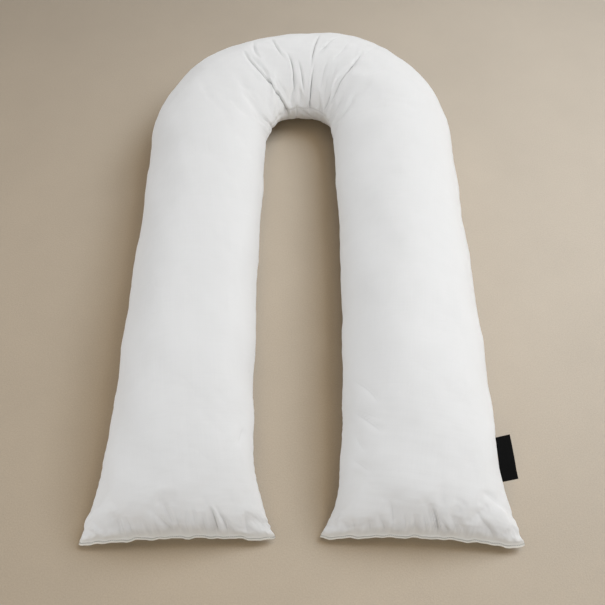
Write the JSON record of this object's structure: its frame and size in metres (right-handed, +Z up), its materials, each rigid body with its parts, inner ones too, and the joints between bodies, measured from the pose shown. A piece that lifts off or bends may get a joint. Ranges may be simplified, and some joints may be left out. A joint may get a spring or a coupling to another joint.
{
  "type": "body pillow",
  "caption": "U-shaped stuffed body pillow of white cotton with flat sewn leg ends, a gathered inner bend and a plain folded side label.",
  "frame": {"origin": "on the floor under the middle of the pillow's outline", "axes": "+Y from the open ends towards the bend, +X to the right leg, +Z up"},
  "size_m": [0.848, 1.3206, 0.223],
  "materials": {
    "white_cotton": "matt bleached cotton in a fine plain weave",
    "label_weave": "black damask label weave with a faint sheen"
  },
  "bodies": {
    "root": {"pillow": "white_cotton", "side_label": "label_weave"}
  },
  "joints": []
}
